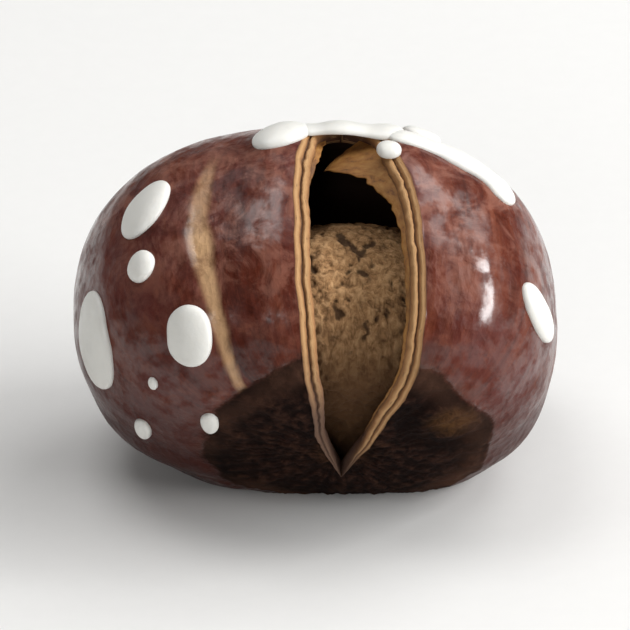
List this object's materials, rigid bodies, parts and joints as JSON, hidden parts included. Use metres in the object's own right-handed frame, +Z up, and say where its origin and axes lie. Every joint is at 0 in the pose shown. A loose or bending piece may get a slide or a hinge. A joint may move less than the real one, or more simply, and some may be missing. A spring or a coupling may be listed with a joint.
{
  "type": "hazelnut in shell",
  "caption": "Roasted nut in a hollow glossy shell that is split from tip to scar, with its kernel inside and dried glaze drops outside. Rests on a small flat spot.",
  "frame": {"origin": "middle of the underside, on the surface that the nut rests on", "axes": "+X across the split, along the nut's longest extent; +Y to the side of the tip; +Z up. The split faces -Y."},
  "size_m": [0.0262, 0.0206, 0.0208],
  "materials": {
    "shell": "glossy roasted mahogany nut shell",
    "kernel": "dry fibrous kernel skin",
    "lip": "torn tan shell edge and inner lining",
    "scar": "dull rough woven scar",
    "glaze": "satin dried white sugar glaze"
  },
  "bodies": {
    "root": {"shell": "shell", "kernel": "kernel"}
  },
  "joints": []
}
